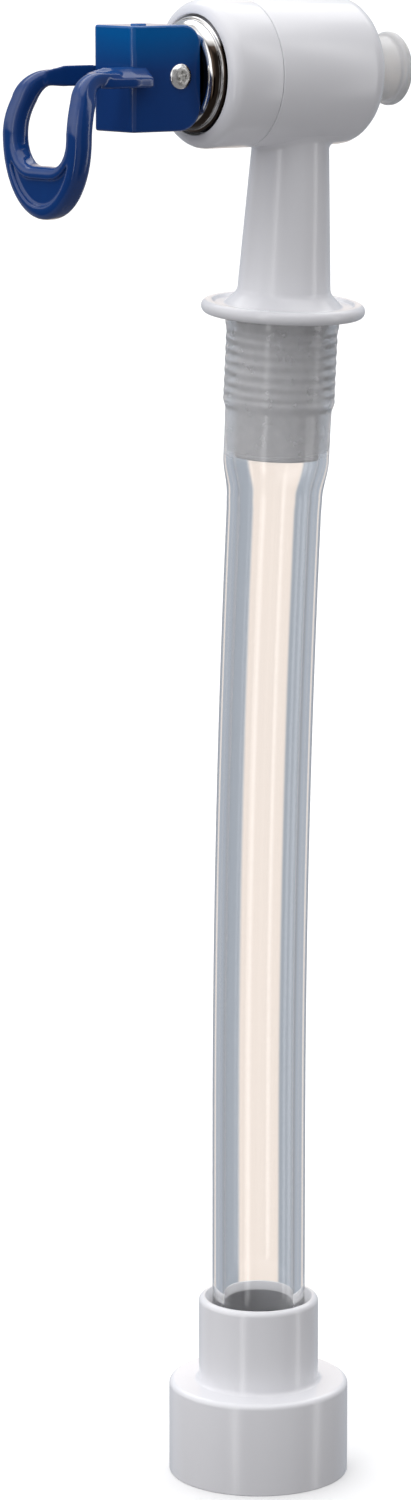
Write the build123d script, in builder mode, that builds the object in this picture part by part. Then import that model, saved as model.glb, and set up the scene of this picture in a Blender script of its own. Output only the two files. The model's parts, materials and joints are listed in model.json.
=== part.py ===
"""A lever-loop drinking-water tap on a clear silicone hose, with a reducing adapter at the hose's foot.

Millimetres, +Z up. The origin is the centre of the adapter's open mouth. The hose rises from the adapter
and leans towards +X near its top. The tap's barrel lies across the hose: its nozzle points to +X and its
lever to -X. Places on the tap are given in the barrel's own directions: `along` runs down the barrel from
the lever to the nozzle and `up` runs up the neck, both from the point where the two axes cross.
"""

import os
from math import asin, cos, radians, sin, sqrt

from build123d import *

# Clearances between pieces
push_gap = 0.05  # radial, pieces pushed together for good
running_gap = 0.05  # radial, a shaft that turns or slides
face_gap = 0.05  # between faces that turn or lift against each other
loose_gap = 0.25  # round a piece that must not rub

# Reducing adapter
socket_r = 12.5
socket_depth = 12.0
gasket_height = 2.0
gasket_groove = 0.5
adapter_wall = 3.0
adapter_body_height = 16.4
adapter_seat_height = 17.5
adapter_rim_height = 31.4
adapter_rim_wall = 2.3
adapter_lead_in = 1.2
adapter_rounding = 0.9

# Hose
hose_outer_r = 8.0
hose_wall = 2.0
hose_low_run = 43.9
hose_bend_r = 2058.0
hose_lean = 3.0  # degrees from upright, at the tap
hose_stretch_run = 34.0

# Shank that the hose is pushed over
shank_bore_r = 4.5
shank_length = 24.0
shank_root_r = 7.0
thread_pitch = 1.8
thread_turns = 7
thread_height = 0.75
thread_rise = 0.35  # share of the pitch
thread_crest = 0.2
shank_bead_length = 4.5
shank_bead_height = 0.15
shank_washer_r = 7.95
shank_washer_height = 1.5

# Tap body
barrel_end = 11.5
barrel_end_rounding = 3.5
collar_seam = -10.6
collar_length = 9.9
collar_wall = 1.3
collar_lip = 2.35
collar_rounding = 2.2
neck_top_r = 6.45
neck_foot_r = 7.85
neck_foot_height = 4.0
flange_r = 13.8
flange_height = 2.2
flange_hub_r = 8.6
flange_hub_height = 3.2
axis_to_flange = 41.0
chamber_r = 8.6
chamber_end = 7.2
seat_height = 1.2
seat_wall = 1.1
outlet_r = 3.5
spigot_length = 4.0
spigot_wall = 1.8
spigot_thread_height = 0.4
spigot_thread_pitch = 1.3
spigot_lead_in = 0.6

# Nozzle
nozzle_r = 5.3
nozzle_bore_r = 4.0
nozzle_lip_r = 6.2
nozzle_lip_length = 1.7
nozzle_lip_rounding = 0.75
nozzle_reach = 8.9  # past the barrel's end
nozzle_socket_depth = 3.0
nozzle_seal_height = 0.8
nozzle_seal_clearance = 0.3

# Stem and what is on it
stem_r = 2.6
plug_r = 5.4
plug_height = 3.6
plug_wall = 0.8
plug_flange_height = 0.8
stem_head_r = 3.4
stem_neck_r = 1.9
stem_neck_length = 1.2
stem_collar_lip = 0.2
stem_collar_height = 1.0
spring_washer_height = 0.6
spring_clearance = 1.3
spring_wire_r = 0.4
spring_active_turns = 6
seal_washer_height = 0.6
seal_ring_wire_r = 0.9
bush_flange_height = 0.6
collar_gasket_height = 0.8
bush_depth = 3.9
collar_web = 1.6

# Chrome ring
ring_stand = 2.05  # in front of the collar
ring_wall = 1.3
ring_bore_clearance = 1.0
ring_dome = 1.9
thrust_washer_height = 0.2

# Lever
head_roll = 4.65  # degrees about the barrel, as the lever was left
base_gap = 0.2  # to the chrome ring
pin_to_base = 4.2
pin_r = 1.2
pin_head_r = 2.1
pin_head_height = 0.8
block_half_width = 5.7
block_length = 13.75
block_top = 8.4
block_bottom = -9.0
block_top_corner = 3.3
block_cam_r = 4.0
block_corner = 1.0
slot_past_pin = 4.35
slot_tilt_room = 1.8
arm_width = 2.5
arm_top = 1.9
arm_bottom = -1.1
arm_root_length = 2.9
arm_slope = 1.6
arm_root = 1.2
arm_reach = 9.0  # from the block's end to where the arms bend
arm_bend_drop = 3.2
loop_reach = 14.5
loop_depth = 3.0
loop_half_width = 10.5
loop_widest = -10.5
loop_tip = -22.6
loop_limb = 2.4
loop_hole_bottom = -13.9
loop_pad_recess = 0.7
loop_pad_top = -16.6
loop_rim = 1.4

# Sizes that follow from those above
spigot_r = chamber_r + spigot_wall
spigot_thread_r = spigot_r + spigot_thread_height
collar_bore_r = spigot_thread_r + loose_gap
barrel_r = collar_bore_r + collar_wall
collar_mouth_r = barrel_r - collar_lip
ring_r = collar_mouth_r - loose_gap
ring_bore_r = stem_r + ring_bore_clearance
spring_coil_r = stem_r + spring_clearance + spring_wire_r
spring_outer_r = spring_coil_r + spring_wire_r
stem_collar_r = spring_outer_r + stem_collar_lip
collar_front = collar_seam - collar_length
ring_face = collar_front - ring_stand
block_base = ring_face - base_gap
block_end = block_base - block_length
pin_along = block_base - pin_to_base
slot_end = pin_along - slot_past_pin
slot_half_height = stem_r + slot_tilt_room
arm_end = block_end + arm_root_length
arm_bend = block_end - arm_reach
loop_front = block_end - loop_reach

# The hose's route, and the barrel's and the head's directions
hose_inner_r = hose_outer_r - hose_wall
lean = radians(hose_lean)
up = Vector(sin(lean), 0, cos(lean))
along = Vector(cos(lean), 0, -sin(lean))
bend_start = Vector(0, 0, adapter_seat_height + hose_low_run)
bend_end = bend_start + Vector(hose_bend_r * (1 - cos(lean)), 0, hose_bend_r * sin(lean))
flange_underside = bend_end + up * hose_stretch_run
centre = flange_underside + up * axis_to_flange
roll = radians(head_roll)
across = Vector(0, cos(roll), 0) - up * sin(roll)  # along the lever's pin
head_up = up * cos(roll) + Vector(0, sin(roll), 0)

barrel_axis = Axis(centre, along)
neck_axis = Axis(centre, up)
tap_plane = Plane(origin=centre, x_dir=along, z_dir=(0, -1, 0))  # x along the barrel, y up the neck
head_plane = Plane(origin=centre, x_dir=along, z_dir=-across)  # x along the barrel, y up the head


def turned(points, plane, axis):
    """A ring made by turning a closed outline about an axis."""
    with BuildPart() as ring:
        with BuildSketch(plane):
            with BuildLine():
                Polyline(*points, close=True)
            make_face()
        revolve(axis=axis)
    return ring


def barrel_ring(start, end, inner_r, outer_r):
    """A plain ring round the barrel's axis."""
    outline = ((start, inner_r), (end, inner_r), (end, outer_r), (start, outer_r))
    return turned(outline, tap_plane, barrel_axis)


def across_barrel(place):
    """A plane square to the barrel, looking down it, with the head's width along x and its height along y."""
    return Plane(origin=centre + along * place, x_dir=across, z_dir=along)


def save(piece, name):
    piece.part.label = name
    export_step(piece.part, f"parts/{name}.step")


os.makedirs("parts", exist_ok=True)

# ---------------------------------------------------------------- inlet adapter and its gasket
gasket_top = socket_depth + gasket_height
adapter_r = socket_r + adapter_wall
hose_socket_r = hose_outer_r + push_gap
adapter_rim_r = hose_socket_r + adapter_rim_wall

with BuildPart() as inlet_adapter:
    with BuildSketch():
        Circle(adapter_r)
    extrude(amount=adapter_body_height)
    with BuildSketch(Plane.XY.offset(adapter_body_height)):
        Circle(adapter_rim_r)
    extrude(amount=adapter_rim_height - adapter_body_height)
    with BuildSketch():
        Circle(socket_r)
    extrude(amount=socket_depth, mode=Mode.SUBTRACT)
    with BuildSketch(Plane.XY.offset(socket_depth)):
        Circle(socket_r + gasket_groove)
    extrude(amount=gasket_height, mode=Mode.SUBTRACT)
    with BuildSketch(Plane.XY.offset(gasket_top)):
        Circle(hose_inner_r)
    extrude(amount=adapter_rim_height - gasket_top, mode=Mode.SUBTRACT)
    with BuildSketch(Plane.XY.offset(adapter_seat_height)):
        Circle(hose_socket_r)
    extrude(amount=adapter_rim_height - adapter_seat_height, mode=Mode.SUBTRACT)
    level = inlet_adapter.edges().filter_by(GeomType.CIRCLE)
    step_edges = level.filter_by_position(
        Axis.Z, adapter_body_height - push_gap, adapter_body_height + push_gap
    )
    rim_edges = level.group_by(Axis.Z)[-1].sort_by(SortBy.RADIUS)
    chamfer(rim_edges[0], length=adapter_lead_in)
    fillet(rim_edges[-1], radius=adapter_rounding)
    fillet(step_edges.sort_by(SortBy.RADIUS)[-1], radius=adapter_rounding)
save(inlet_adapter, "inlet_adapter")

with BuildPart() as adapter_gasket:
    with BuildSketch(Plane.XY.offset(socket_depth)):
        Circle(socket_r + gasket_groove - push_gap)
        Circle(hose_inner_r, mode=Mode.SUBTRACT)
    extrude(amount=gasket_height)
save(adapter_gasket, "adapter_gasket")

# ---------------------------------------------------------------- hose
thread_r = shank_root_r + thread_height
bead_r = shank_root_r + shank_bead_height
thread_length = thread_pitch * thread_turns
wall_area = hose_outer_r**2 - hose_inner_r**2


def hose_outer(inner):
    """The outer radius of the hose where it is stretched to this inner radius, its wall keeping its area."""
    return sqrt(inner**2 + wall_area)


def below_flange(depth):
    return -(axis_to_flange + depth)


thread_end = shank_washer_height + thread_length
bead_start = shank_length - shank_bead_length
stretch = (  # inner radius of the hose, and depth below the flange
    (shank_washer_r + push_gap, push_gap),
    (shank_washer_r + push_gap, shank_washer_height + push_gap),
    (thread_r + push_gap, shank_washer_height + thread_pitch / 2),
    (thread_r + push_gap, thread_end),
    (bead_r + push_gap, thread_end + thread_pitch),
    (bead_r + push_gap, shank_length),
    (hose_inner_r, hose_stretch_run),
)

with BuildPart() as hose:
    with BuildLine() as route:
        low_run = Line((0, 0, adapter_seat_height + push_gap), bend_start)
        TangentArc(bend_start, bend_end, tangent=(0, 0, 1))
    with BuildSketch(Plane(origin=low_run @ 0, z_dir=(0, 0, 1))):
        Circle(hose_outer_r)
        Circle(hose_inner_r, mode=Mode.SUBTRACT)
    sweep(path=route.wire())
    with BuildSketch(tap_plane):
        with BuildLine():
            inside = [(inner, below_flange(depth)) for inner, depth in stretch]
            outside = [(hose_outer(inner), below_flange(depth)) for inner, depth in reversed(stretch)]
            Polyline(*inside, *outside, close=True)
        make_face()
    revolve(axis=neck_axis)
save(hose, "hose")

with BuildPart() as shank_washer:
    with BuildSketch(Plane(origin=flange_underside, z_dir=-up)):
        Circle(shank_washer_r)
        Circle(shank_root_r + push_gap, mode=Mode.SUBTRACT)
    extrude(amount=shank_washer_height)
save(shank_washer, "shank_washer")

# ---------------------------------------------------------------- tap body
spigot_end = collar_seam - spigot_length
seat_face = chamber_end - seat_height
nozzle_floor = barrel_end - nozzle_socket_depth
flange_top = below_flange(0) + flange_height
hub_top = below_flange(0) + flange_hub_height
neck_foot = below_flange(0) + neck_foot_height

with BuildPart() as tap_body:
    with BuildSketch(tap_plane):  # barrel and the spigot that the collar screws on
        with BuildLine():
            Polyline(
                (spigot_end, 0),
                (spigot_end, spigot_r),
                (collar_seam, spigot_r),
                (collar_seam, barrel_r),
                (barrel_end, barrel_r),
                (barrel_end, 0),
                close=True,
            )
        make_face()
    revolve(axis=barrel_axis)
    fillet(
        tap_body.edges().filter_by(GeomType.CIRCLE).sort_by(barrel_axis)[-1],
        radius=barrel_end_rounding,
    )
    with BuildSketch(tap_plane):  # neck, flange and shank
        with BuildLine():
            Polyline(
                (0, 0),
                (neck_top_r, 0),
                (neck_top_r, -barrel_r),
                (neck_foot_r, neck_foot),
                (flange_hub_r, hub_top),
                (flange_hub_r + flange_hub_height - flange_height, flange_top),
                (flange_r - flange_height / 2, flange_top),
                (flange_r, below_flange(0) + flange_height / 2),
                (flange_r - flange_height / 2, below_flange(0)),
                (shank_root_r, below_flange(0)),
                (shank_root_r, below_flange(bead_start)),
                (bead_r, below_flange(bead_start)),
                (bead_r, below_flange(shank_length)),
                (0, below_flange(shank_length)),
                close=True,
            )
        make_face()
    revolve(axis=neck_axis)
    with BuildSketch(tap_plane):  # the shank's thread, as ridges
        for turn in range(thread_turns):
            ridge_top = below_flange(shank_washer_height + turn * thread_pitch)
            with BuildLine():
                Polyline(
                    (shank_root_r - push_gap, ridge_top),
                    (thread_r, ridge_top - thread_pitch * thread_rise),
                    (thread_r, ridge_top - thread_pitch * (thread_rise + thread_crest)),
                    (shank_root_r - push_gap, ridge_top - thread_pitch * (2 * thread_rise + thread_crest)),
                    close=True,
                )
            make_face()
    revolve(axis=neck_axis)
    with BuildSketch(tap_plane):  # chamber, seat, outlet and nozzle socket
        with BuildLine():
            Polyline(
                (spigot_end, 0),
                (barrel_end, 0),
                (barrel_end, nozzle_r + push_gap),
                (nozzle_floor, nozzle_r + push_gap),
                (nozzle_floor, outlet_r),
                (seat_face, outlet_r),
                (seat_face, outlet_r + seat_wall),
                (chamber_end, outlet_r + seat_wall),
                (chamber_end, chamber_r),
                (spigot_end, chamber_r),
                close=True,
            )
        make_face()
    revolve(axis=barrel_axis, mode=Mode.SUBTRACT)
    with BuildSketch(Plane(origin=centre - up * (axis_to_flange + shank_length), z_dir=up)):
        Circle(shank_bore_r)
    extrude(amount=axis_to_flange + shank_length, mode=Mode.SUBTRACT)
    with BuildSketch(tap_plane):  # the spigot's thread, as ridges
        for turn in range(int((spigot_length - spigot_lead_in) / spigot_thread_pitch)):
            start = spigot_end + spigot_lead_in + turn * spigot_thread_pitch
            with BuildLine():
                Polyline(
                    (start, spigot_r - push_gap),
                    (start + spigot_thread_pitch * thread_rise, spigot_thread_r),
                    (start + spigot_thread_pitch * thread_rise * 2, spigot_r - push_gap),
                    close=True,
                )
            make_face()
    revolve(axis=barrel_axis)
save(tap_body, "tap_body")

# ---------------------------------------------------------------- collar, its gasket and the guide bush
gasket_start = spigot_end - collar_gasket_height
web_end = gasket_start - bush_flange_height
web_start = web_end - collar_web
bush_end = gasket_start + bush_depth
bush_bore_r = stem_r + running_gap
seal_ring_r = stem_r + seal_ring_wire_r
seal_pocket_r = stem_r + 2 * seal_ring_wire_r
seal_pocket = bush_end - 2 * seal_ring_wire_r - push_gap

with BuildPart() as bonnet_collar:
    with BuildSketch(tap_plane):
        with BuildLine():
            Polyline(
                (collar_front, collar_mouth_r),
                (collar_front, barrel_r),
                (collar_seam - push_gap, barrel_r),
                (collar_seam - push_gap, collar_bore_r),
                (web_end, collar_bore_r),
                (web_end, seal_pocket_r),
                (web_start, seal_pocket_r),
                (web_start, collar_mouth_r),
                close=True,
            )
        make_face()
    revolve(axis=barrel_axis)
    rings = bonnet_collar.edges().filter_by(GeomType.CIRCLE).group_by(barrel_axis)
    fillet(rings[0].sort_by(SortBy.RADIUS)[-1], radius=collar_rounding)
save(bonnet_collar, "bonnet_collar")

save(barrel_ring(gasket_start, spigot_end, chamber_r, spigot_r), "collar_gasket")

with BuildPart() as guide_bush:
    with BuildSketch(tap_plane):
        with BuildLine():
            Polyline(
                (web_end, bush_bore_r),
                (web_end, spigot_r),
                (gasket_start, spigot_r),
                (gasket_start, chamber_r - push_gap),
                (bush_end, chamber_r - push_gap),
                (bush_end, seal_pocket_r + push_gap),
                (seal_pocket, seal_pocket_r + push_gap),
                (seal_pocket, bush_bore_r),
                close=True,
            )
        make_face()
    revolve(axis=barrel_axis)
save(guide_bush, "guide_bush")

with BuildPart() as stem_o_ring:
    with BuildSketch(tap_plane):
        with Locations((bush_end - seal_ring_wire_r - push_gap / 2, seal_ring_r + running_gap)):
            Circle(seal_ring_wire_r - push_gap / 2)
    revolve(axis=barrel_axis)
save(stem_o_ring, "stem_o_ring")

seal_washer_end = bush_end + seal_washer_height
save(
    barrel_ring(bush_end, seal_washer_end, bush_bore_r + running_gap, chamber_r - push_gap),
    "seal_washer",
)

# ---------------------------------------------------------------- stem, plug and spring
plug_start = seat_face - plug_height
stem_head_end = seat_face - plug_wall
stem_head_start = plug_start + stem_neck_length
collar_start = plug_start - stem_collar_height
spring_end = collar_start - spring_washer_height

with BuildPart() as stem:
    with BuildSketch(tap_plane):
        with BuildLine():
            CenterArc((pin_along, 0), stem_r, start_angle=90, arc_size=90)
            Polyline(
                (pin_along, stem_r),
                (collar_start, stem_r),
                (collar_start, stem_collar_r),
                (plug_start, stem_collar_r),
                (plug_start, stem_neck_r),
                (stem_head_start, stem_neck_r),
                (stem_head_start, stem_head_r),
                (stem_head_end, stem_head_r),
                (stem_head_end, 0),
                (pin_along - stem_r, 0),
            )
        make_face()
    revolve(axis=barrel_axis)
    with BuildSketch(head_plane):
        with Locations((pin_along, 0)):
            Circle(pin_r + running_gap)
    extrude(amount=stem_r, both=True, mode=Mode.SUBTRACT)
save(stem, "stem")

with BuildPart() as seat_plug:  # a silicone cap stretched over the stem's head
    with BuildSketch(tap_plane):
        with BuildLine():
            Polyline(
                (plug_start, stem_neck_r + push_gap),
                (plug_start, plug_r - plug_wall),
                (seat_face - plug_flange_height - plug_wall, plug_r - plug_wall),
                (seat_face - plug_flange_height, plug_r),
                (seat_face, plug_r),
                (seat_face, 0),
                (stem_head_end, 0),
                (stem_head_end, stem_head_r + push_gap),
                (stem_head_start, stem_head_r + push_gap),
                (stem_head_start, stem_neck_r + push_gap),
                close=True,
            )
        make_face()
    revolve(axis=barrel_axis)
save(seat_plug, "seat_plug")

save(
    barrel_ring(spring_end, collar_start, stem_r + push_gap, spring_outer_r + stem_collar_lip),
    "spring_washer",
)

with BuildPart() as return_spring:
    spring_start = seal_washer_end + spring_wire_r + push_gap
    spring_height = spring_end - spring_wire_r - push_gap - spring_start
    with BuildLine():
        coil = Helix(
            pitch=spring_height / spring_active_turns,
            height=spring_height,
            radius=spring_coil_r,
            center=centre + along * spring_start,
            direction=along,
        )
    with BuildSketch(Plane(origin=coil @ 0, z_dir=coil % 0)):
        Circle(spring_wire_r)
    sweep(is_frenet=True)
save(return_spring, "return_spring")

# ---------------------------------------------------------------- chrome ring and its washer
ring_shoulder = ring_face + ring_dome
washer_end = web_start - push_gap
washer_start = washer_end - thrust_washer_height
ring_skirt_end = washer_start - face_gap

with BuildPart() as chrome_ring:
    with BuildSketch(tap_plane):
        with BuildLine():
            Polyline(
                (ring_skirt_end, ring_r - ring_wall),
                (ring_skirt_end, ring_r),
                (ring_shoulder, ring_r),
            )
            CenterArc((ring_shoulder, ring_r - ring_dome), ring_dome, start_angle=90, arc_size=90)
            Polyline(
                (ring_face, ring_r - ring_dome),
                (ring_face, ring_bore_r),
                (ring_face + ring_wall, ring_bore_r),
                (ring_face + ring_wall, ring_r - ring_dome),
                (ring_shoulder + ring_wall / 2, ring_r - ring_wall),
                (ring_skirt_end, ring_r - ring_wall),
            )
        make_face()
    revolve(axis=barrel_axis)
save(chrome_ring, "chrome_ring")

save(
    barrel_ring(washer_start, washer_end, ring_r - 2 * ring_wall, ring_r - push_gap),
    "thrust_washer",
)

# ---------------------------------------------------------------- lever and its pin
arm_outer = block_half_width + arm_width
arm_root_inner = block_half_width - arm_root  # inside the block, so that arm and block are one moulding
arm_ridge = arm_top - arm_slope
loop_hole_half_width = loop_half_width - loop_limb
loop_height = loop_widest - loop_tip
pin_bore_r = pin_r + push_gap
bend_axis = Axis(centre + along * arm_bend - head_up * arm_bend_drop, -across)
level_plane = Plane(origin=centre, x_dir=along, z_dir=-head_up)  # y towards -across


def arm_outline(inner, outer):
    """One arm of the lever cut square: its top leans down to a ridge on the outer side."""
    return ((inner, arm_bottom), (inner, arm_top), (outer, arm_ridge), (outer, arm_bottom))


def limb_outline(front, ridge, back, inner, outer):
    """One limb of the lever cut level: its front corner leans back to a ridge on the outer side."""
    return ((front, inner), (ridge, outer), (back, outer), (back, inner))


with BuildPart() as lever:
    with BuildSketch(head_plane) as block_outline:  # head block, its lower corner rocks on the ring
        with BuildLine():
            Polyline(
                (block_base, block_bottom),
                (block_base, block_top),
                (block_end, block_top),
                (block_end, block_bottom),
                close=True,
            )
        make_face()
        fillet(block_outline.vertices().group_by(Axis.X)[-1].sort_by(Axis.Y)[-1], block_top_corner)
        fillet(block_outline.vertices().group_by(Axis.Y)[0].sort_by(Axis.X)[-1], block_cam_r)
    extrude(amount=block_half_width, both=True)
    upright = lever.edges().filter_by(Axis(centre, head_up))
    fillet(upright.group_by(barrel_axis)[0], radius=block_corner)
    for side in (-1, 1):
        with BuildSketch(across_barrel(block_end + block_corner)):
            with BuildLine():
                Polyline(*arm_outline(side * arm_root_inner, side * arm_outer), close=True)
            make_face()
        extrude(amount=arm_end - block_end - block_corner)
        with BuildSketch(across_barrel(arm_bend)):
            with BuildLine():
                Polyline(*arm_outline(side * block_half_width, side * arm_outer), close=True)
            make_face()
        extrude(amount=arm_end - arm_bend)
        with BuildSketch(across_barrel(arm_bend)):
            with BuildLine():
                Polyline(*arm_outline(side * block_half_width, side * arm_outer), close=True)
            make_face()
        revolve(axis=bend_axis, revolution_arc=90)
        bend_foot = limb_outline(
            arm_bend - arm_top - arm_bend_drop,
            arm_bend - arm_ridge - arm_bend_drop,
            arm_bend - arm_bottom - arm_bend_drop,
            side * block_half_width,
            side * arm_outer,
        )
        loop_top = limb_outline(
            loop_front,
            loop_front + loop_pad_recess,
            loop_front + loop_depth,
            side * loop_hole_half_width,
            side * loop_half_width,
        )
        with BuildSketch(level_plane.offset(arm_bend_drop)):
            with BuildLine():
                Polyline(*bend_foot, close=True)
            make_face()
        with BuildSketch(level_plane.offset(-loop_widest)):
            with BuildLine():
                Polyline(*loop_top, close=True)
            make_face()
        loft()
    with BuildSketch(across_barrel(loop_front)):
        with Locations((0, loop_widest)):
            Ellipse(loop_half_width, loop_height)
            Ellipse(loop_hole_half_width, loop_widest - loop_hole_bottom, mode=Mode.SUBTRACT)
            Rectangle(
                2 * loop_half_width, loop_height, align=(Align.CENTER, Align.MIN), mode=Mode.SUBTRACT
            )
    extrude(amount=loop_depth)
    with BuildSketch(across_barrel(loop_front)):  # the finger pad's shallow dish
        with Locations((0, loop_widest)):
            Ellipse(loop_half_width - loop_rim, loop_height - loop_rim)
            Ellipse(loop_half_width, loop_widest - loop_pad_top, mode=Mode.SUBTRACT)
            Rectangle(
                2 * loop_half_width, loop_height, align=(Align.CENTER, Align.MIN), mode=Mode.SUBTRACT
            )
    extrude(amount=loop_pad_recess, mode=Mode.SUBTRACT)
    with BuildSketch(head_plane):  # slot for the stem
        with Locations(((block_base + slot_end) / 2, 0)):
            Rectangle(block_base - slot_end, 2 * slot_half_height)
    extrude(amount=stem_r + loose_gap, both=True, mode=Mode.SUBTRACT)
    with BuildSketch(head_plane):
        with Locations((pin_along, 0)):
            Circle(pin_bore_r)
    extrude(amount=block_half_width, both=True, mode=Mode.SUBTRACT)
save(lever, "lever")

pin_half_length = block_half_width + push_gap
pin_end = pin_half_length + pin_head_height
dome_r = (pin_head_r**2 + pin_head_height**2) / (2 * pin_head_height)
dome_half_angle = asin(pin_head_r / dome_r) / 2
dome_middle = (pin_end - dome_r * (1 - cos(dome_half_angle)), dome_r * sin(dome_half_angle))

with BuildPart() as lever_pin:  # a plain pin with a low dome at each end
    with BuildSketch(across_barrel(pin_along)):
        with BuildLine():
            ThreePointArc((-pin_half_length, pin_head_r), (-dome_middle[0], dome_middle[1]), (-pin_end, 0))
            Line((-pin_end, 0), (pin_end, 0))
            ThreePointArc((pin_end, 0), dome_middle, (pin_half_length, pin_head_r))
            Polyline(
                (pin_half_length, pin_head_r),
                (pin_half_length, pin_r),
                (-pin_half_length, pin_r),
                (-pin_half_length, pin_head_r),
            )
        make_face()
    revolve(axis=Axis(centre + along * pin_along, across))
save(lever_pin, "lever_pin")

# ---------------------------------------------------------------- nozzle and its seal
nozzle_root = nozzle_floor + nozzle_seal_height
nozzle_end = barrel_end + nozzle_reach
seal_bore_r = nozzle_bore_r + nozzle_seal_clearance
save(barrel_ring(nozzle_floor, nozzle_root, seal_bore_r, nozzle_r), "nozzle_seal")

with BuildPart() as nozzle:
    with BuildSketch(tap_plane):
        with BuildLine():
            Polyline(
                (nozzle_root, nozzle_bore_r),
                (nozzle_root, nozzle_r),
                (nozzle_end - nozzle_lip_length, nozzle_r),
                (nozzle_end - nozzle_lip_length, nozzle_lip_r),
                (nozzle_end, nozzle_lip_r),
                (nozzle_end, nozzle_bore_r),
                close=True,
            )
        make_face()
    revolve(axis=barrel_axis)
    lip_edges = nozzle.edges().filter_by(GeomType.CIRCLE).filter_by(
        lambda edge: edge.radius > nozzle_r + push_gap
    )
    fillet(lip_edges, radius=nozzle_lip_rounding)
save(nozzle, "nozzle")
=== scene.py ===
import json
from math import acos, atan2, cos, pi, radians, sin, sqrt, tan

import bmesh
import bpy
from mathutils import Matrix, Vector


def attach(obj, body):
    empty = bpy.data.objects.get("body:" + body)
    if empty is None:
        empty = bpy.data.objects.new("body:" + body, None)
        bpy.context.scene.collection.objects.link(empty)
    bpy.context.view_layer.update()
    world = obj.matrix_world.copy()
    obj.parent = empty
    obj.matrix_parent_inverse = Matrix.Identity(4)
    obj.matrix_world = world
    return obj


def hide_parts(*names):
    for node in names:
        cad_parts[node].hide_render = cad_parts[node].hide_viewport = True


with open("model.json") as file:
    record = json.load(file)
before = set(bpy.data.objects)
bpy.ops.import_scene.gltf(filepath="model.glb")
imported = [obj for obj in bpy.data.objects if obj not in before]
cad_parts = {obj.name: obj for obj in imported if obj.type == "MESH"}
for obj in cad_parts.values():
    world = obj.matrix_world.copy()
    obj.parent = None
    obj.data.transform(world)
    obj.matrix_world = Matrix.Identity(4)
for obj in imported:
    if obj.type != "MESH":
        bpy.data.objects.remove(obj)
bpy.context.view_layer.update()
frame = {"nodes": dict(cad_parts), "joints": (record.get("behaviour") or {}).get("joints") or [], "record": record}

mm = 0.001
weldGap = 0.002 * mm

# ---- places, read off the frame
joints = {joint["name"]: joint for joint in frame["joints"]}
mounts = {mount["name"]: mount for mount in frame["record"]["mounts"]}
barrelReach = 20.4 * mm  # from the neck's axis to the nozzle's tip
along = Vector(joints["head_swivel"]["axis"]).normalized()
up = Vector((-along.z, 0, along.x))
across = -Vector(joints["lever_tilt"]["axis"]).normalized()
headUp = along.cross(across)
crossing = Vector(mounts["outlet"]["pos_m"]) - along * barrelReach


def standing(origin, x, y, z):
    columns = Matrix((x, y, z)).transposed().to_4x4()
    return Matrix.Translation(origin) @ columns


barrelFrame = standing(crossing, up, along.cross(up), along)  # z down the barrel, to the nozzle
neckFrame = standing(crossing, along, up.cross(along), up)  # z up the neck
headFrame = standing(crossing, along, across, headUp)  # x down the barrel, z up the lever's head
pinFrame = standing(Vector(joints["lever_tilt"]["pos_m"]), headUp, along, across)  # z along the pin


# ---- hand tools
def deselectAll():
    bpy.ops.object.select_all(action="DESELECT")


def editing(piece):
    deselectAll()
    bpy.context.view_layer.objects.active = piece
    piece.select_set(True)
    bpy.ops.object.mode_set(mode="EDIT")


def pick(kind, test):
    # selects the vertices, edges or faces that pass the test, and nothing else
    bpy.ops.mesh.select_all(action="DESELECT")
    bpy.context.tool_settings.mesh_select_mode = (kind == "verts", kind == "edges", kind == "faces")
    cage = bmesh.from_edit_mesh(bpy.context.edit_object.data)
    chosen = [part for part in getattr(cage, kind) if test(part)]
    for part in chosen:
        part.select_set(True)
    cage.select_flush_mode()
    bmesh.update_edit_mesh(bpy.context.edit_object.data)
    return len(chosen)


def middle(part):
    if hasattr(part, "calc_center_median"):
        return part.calc_center_median()
    return sum((vert.co for vert in part.verts), Vector()) / len(part.verts)


def doneEditing():
    bpy.ops.object.mode_set(mode="OBJECT")


def settle(piece, place, smoothAngle=35):
    # puts a finished piece in its place, with the place in its mesh
    deselectAll()
    bpy.context.view_layer.objects.active = piece
    piece.select_set(True)
    piece.matrix_world = place
    bpy.ops.object.transform_apply(location=True, rotation=True, scale=True)
    bpy.ops.object.shade_smooth_by_angle(angle=radians(smoothAngle))


def applied(piece, kind, settings):
    deselectAll()
    bpy.context.view_layer.objects.active = piece
    piece.select_set(True)
    modifier = piece.modifiers.new(kind.title(), kind)
    for name, value in settings.items():
        setattr(modifier, name, value)
    bpy.ops.object.modifier_apply(modifier=modifier.name)


def cutOrJoin(piece, tool, operation):
    applied(piece, "BOOLEAN", {"operation": operation, "object": tool, "solver": "EXACT"})
    bpy.data.objects.remove(tool)


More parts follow.
